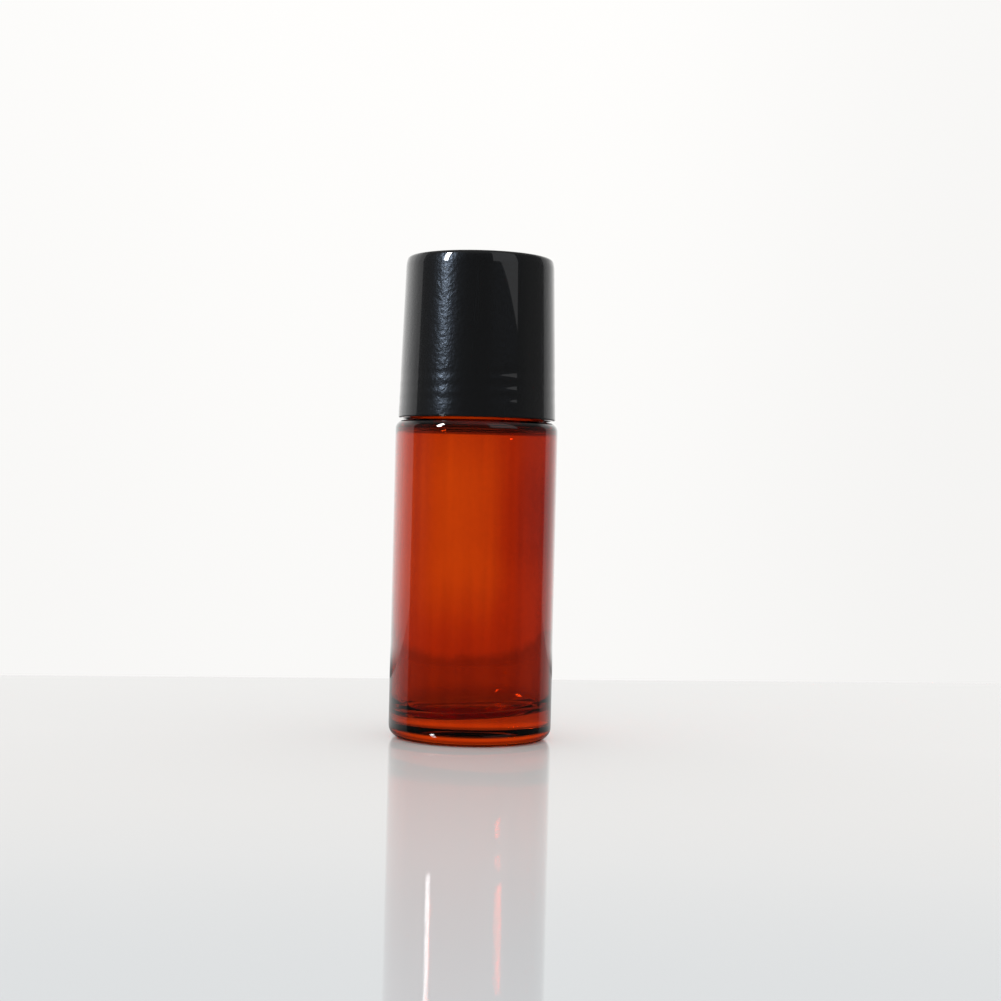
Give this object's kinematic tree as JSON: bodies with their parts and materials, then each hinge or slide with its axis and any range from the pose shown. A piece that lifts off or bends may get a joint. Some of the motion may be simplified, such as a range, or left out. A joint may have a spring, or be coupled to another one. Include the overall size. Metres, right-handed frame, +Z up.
{
  "type": "roll on bottle",
  "caption": "Round amber glass bottle with a thick base and a tall black screw cap over a ball in a pressed-in housing, which rolls liquid onto the skin.",
  "frame": {"origin": "middle of the ring that the bottle stands on, at table level", "axes": "+Z up along the bottle's axis, +X to the right and +Y away from the viewer of the picture"},
  "size_m": [0.038, 0.038, 0.1119],
  "materials": {
    "amber_glass": "clear glass with a smooth amber coat",
    "natural_plastic": "natural polyethylene, satin",
    "ball_plastic": "smooth white polypropylene",
    "black_plastic": "glossy black polypropylene with fine scratches"
  },
  "bodies": {
    "bottle": {"glass_bottle": "amber_glass", "ball_housing": "natural_plastic"},
    "ball": {"roller_ball": "ball_plastic"},
    "cap": {"screw_cap": "black_plastic"}
  },
  "joints": [
    {"name": "ball_roll", "type": "hinge", "parent": "bottle", "child": "ball", "pos_m": [0, 0, 0.093], "axis": [1, 0, 0], "continuous": true},
    {"name": "cap_lift", "type": "slide", "parent": "bottle", "child": "cap", "axis": [0, 0, 1], "range_m": [0, 0.045]}
  ]
}
